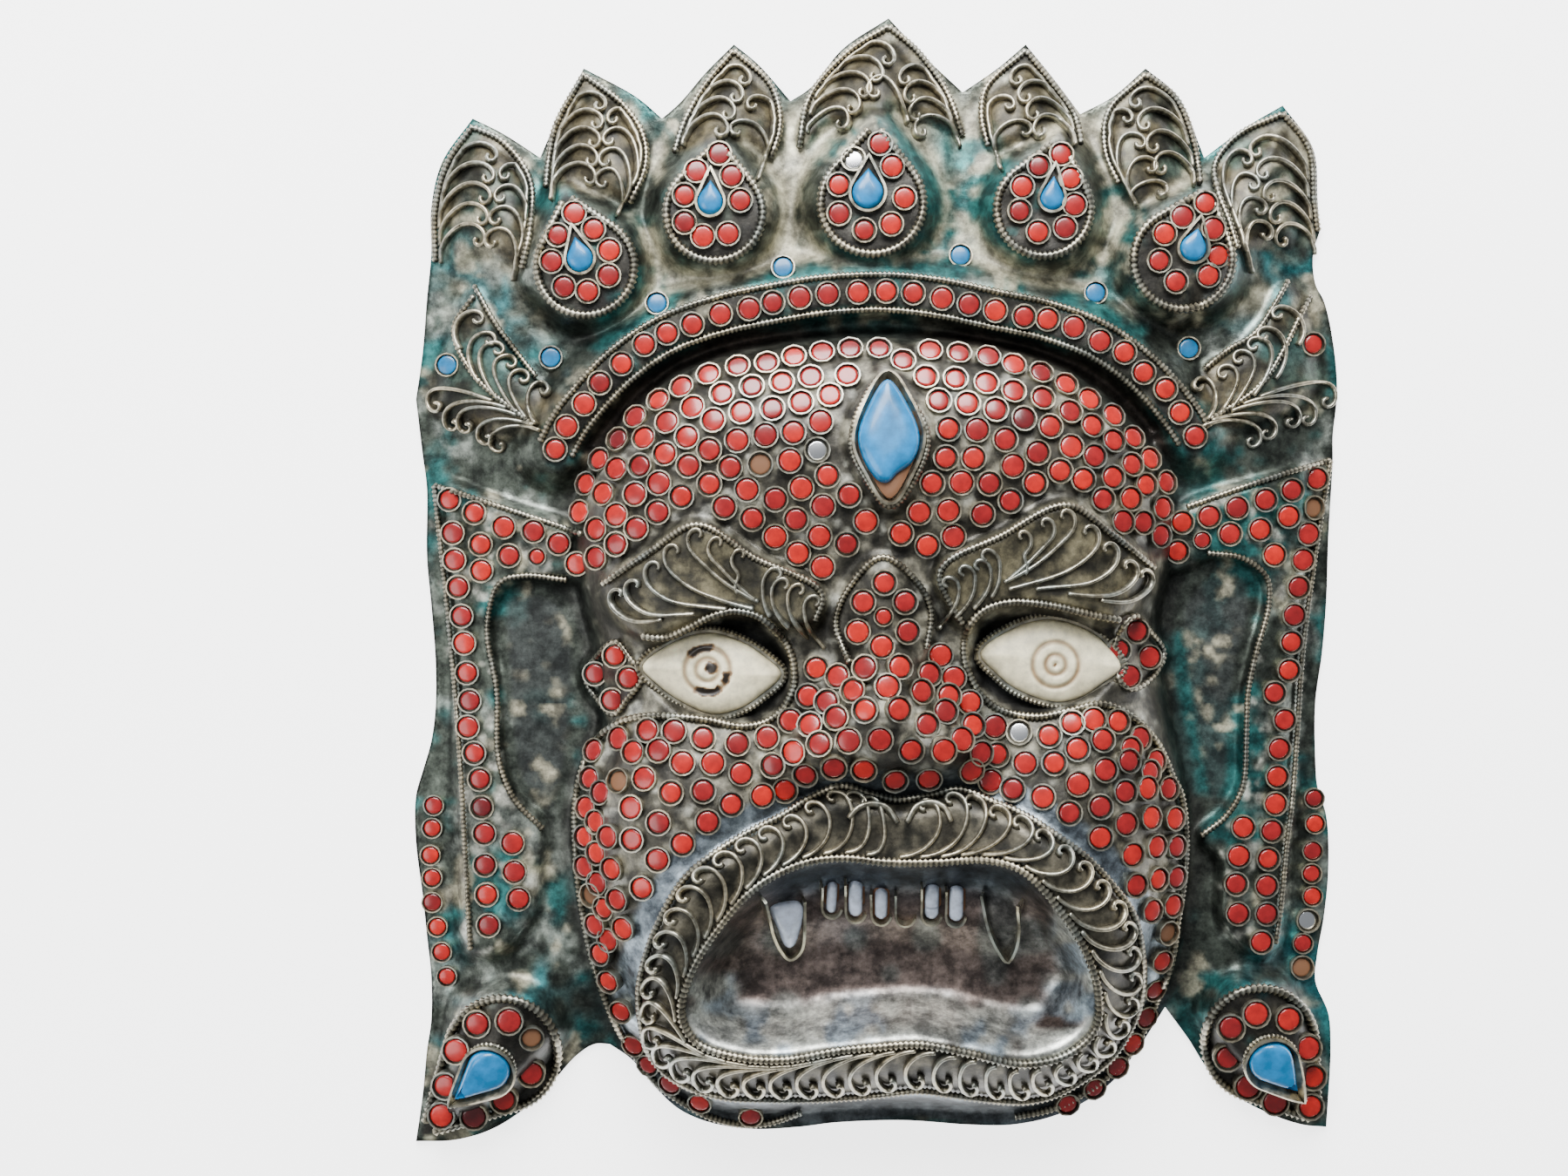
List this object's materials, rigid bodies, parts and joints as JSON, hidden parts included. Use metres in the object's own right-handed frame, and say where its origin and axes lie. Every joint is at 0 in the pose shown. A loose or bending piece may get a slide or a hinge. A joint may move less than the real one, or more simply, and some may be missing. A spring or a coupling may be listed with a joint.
{
  "type": "ritual dance mask",
  "caption": "Wrathful guardian mask raised in silvered sheet metal, with a leaf crown, coral and turquoise settings, bone eyes and an open fanged mouth, lying face up on its rim.",
  "frame": {"origin": "the middle of the mask's width and height, on the plane that its flat rim lies on", "axes": "+X to the right of the face as it is looked at, +Y to the tip of the crown, +Z out of the face"},
  "size_m": [0.2116, 0.2578, 0.0458],
  "materials": {
    "silvered_sheet": "silvered copper alloy, tarnished dark with green and blue patina and pale dust in the hollows",
    "setting_wire": "worn silvered beaded wire and filigree, bright on its crests",
    "coral": "polished coral-red paste",
    "turquoise": "polished turquoise blue",
    "bone": "carved bone, yellowed, inked in the cuts",
    "white_glass": "glossy bluish-white glass"
  },
  "bodies": {
    "root": {"mask_shell": "silvered_sheet", "left_eye": "bone", "right_eye": "bone", "third_eye_stone": "turquoise", "crown_drop_1": "turquoise", "crown_drop_2": "turquoise", "crown_drop_3": "turquoise", "crown_drop_4": "turquoise", "crown_drop_5": "turquoise", "lower_drop_left": "turquoise", "lower_drop_right": "turquoise", "turquoise_dot_1": "turquoise", "turquoise_dot_2": "turquoise", "turquoise_dot_3": "turquoise", "turquoise_dot_4": "turquoise", "turquoise_dot_5": "turquoise", "turquoise_dot_6": "turquoise", "turquoise_dot_7": "turquoise", "coral_dot": "coral", "crown_corals_1": "coral", "crown_corals_2": "coral", "crown_corals_3": "coral", "crown_corals_4": "coral", "crown_corals_5": "coral", "lower_corals_left": "coral", "lower_corals_right": "coral", "brow_band_corals": "coral", "ear_corals_left": "coral", "ear_corals_right": "coral", "ear_foot_corals_left": "coral", "ear_foot_corals_right": "coral", "edge_corals_left": "coral", "edge_corals_right": "coral", "temple_corals_left": "coral", "temple_corals_right": "coral", "nose_root_corals": "coral", "incisor_1": "white_glass", "incisor_2": "white_glass", "incisor_3": "white_glass", "incisor_4": "white_glass", "incisor_5": "white_glass", "left_fang": "white_glass"}
  },
  "joints": []
}
